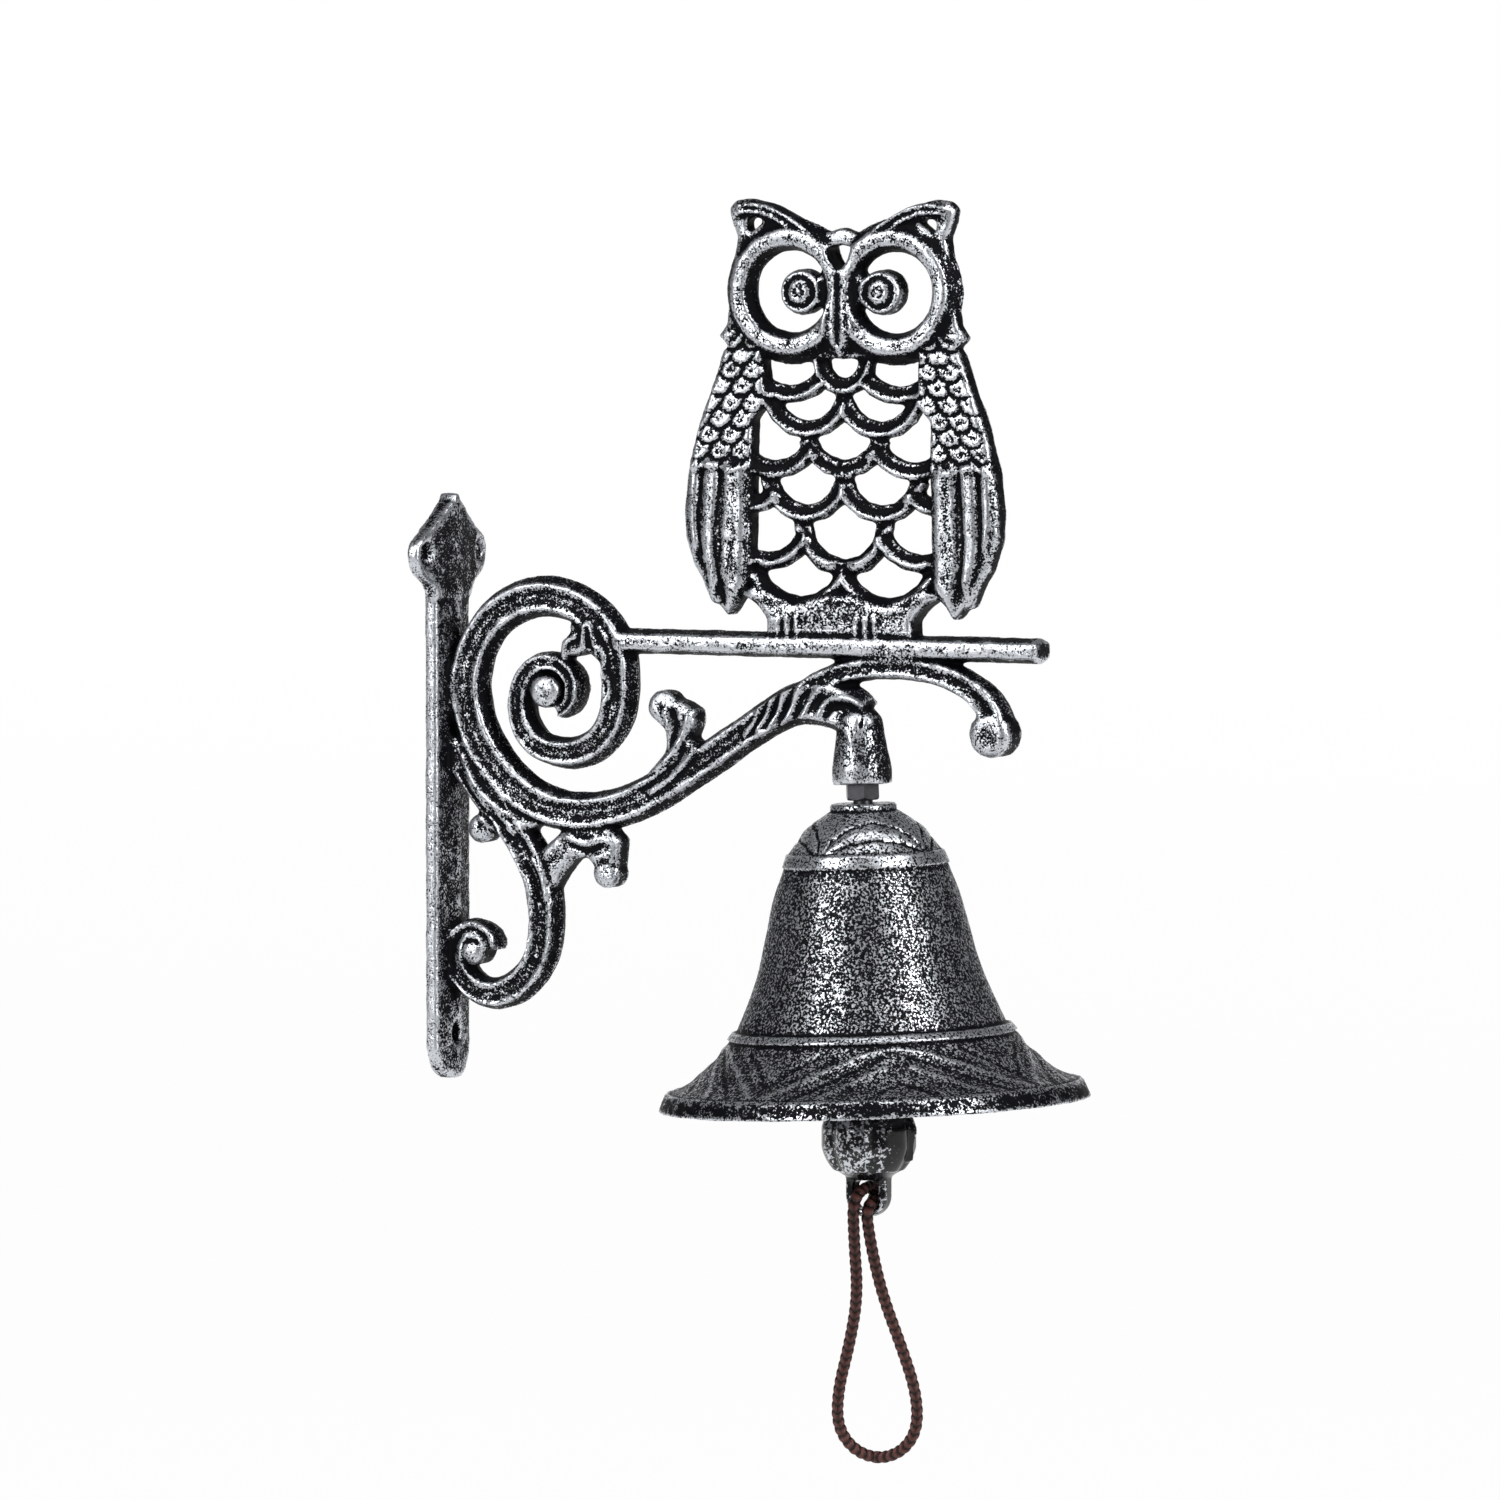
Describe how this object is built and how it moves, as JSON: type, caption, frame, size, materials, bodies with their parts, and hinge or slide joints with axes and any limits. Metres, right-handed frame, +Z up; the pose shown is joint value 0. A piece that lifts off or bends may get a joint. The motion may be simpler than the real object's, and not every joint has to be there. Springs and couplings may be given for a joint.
{
  "type": "wall bell",
  "caption": "Cast-iron wall bell: scrolled bracket with an openwork owl on its shelf, flared bell, swinging clapper and braided pull cord.",
  "frame": {"origin": "middle of the wall plate's flat back, where it meets the wall", "axes": "+X away from the wall, +Y across the plate, +Z up"},
  "size_m": [0.1794, 0.1104, 0.3223],
  "materials": {
    "bracket_iron": "black paint, dry-brushed silver on the high spots",
    "bell_iron": "black paint, dry-brushed silver over the grain",
    "clapper_iron": "glossy black with a few silver strokes",
    "nut_steel": "dark gunmetal",
    "link_wire": "dark wire",
    "cord_braid": "dark brown braid"
  },
  "bodies": {
    "bracket": {"bracket_casting": "bracket_iron", "lock_nut": "nut_steel", "bell_washer": "nut_steel", "bell_nut": "nut_steel", "eye_bolt": "nut_steel", "bell": "bell_iron"},
    "link": {"clapper_link": "link_wire"},
    "clapper": {"clapper": "clapper_iron", "cord_knot": "cord_braid", "pull_cord": "cord_braid"}
  },
  "joints": [
    {"name": "link_swing", "type": "hinge", "parent": "bracket", "child": "link", "pos_m": [0.12258, 0, -0.03966], "axis": [1, 0, 0], "range_deg": [-26, 26]},
    {"name": "clapper_swing", "type": "hinge", "parent": "link", "child": "clapper", "pos_m": [0.12258, 0, -0.04716], "axis": [0, 1, 0], "range_deg": [-30, 30]}
  ]
}
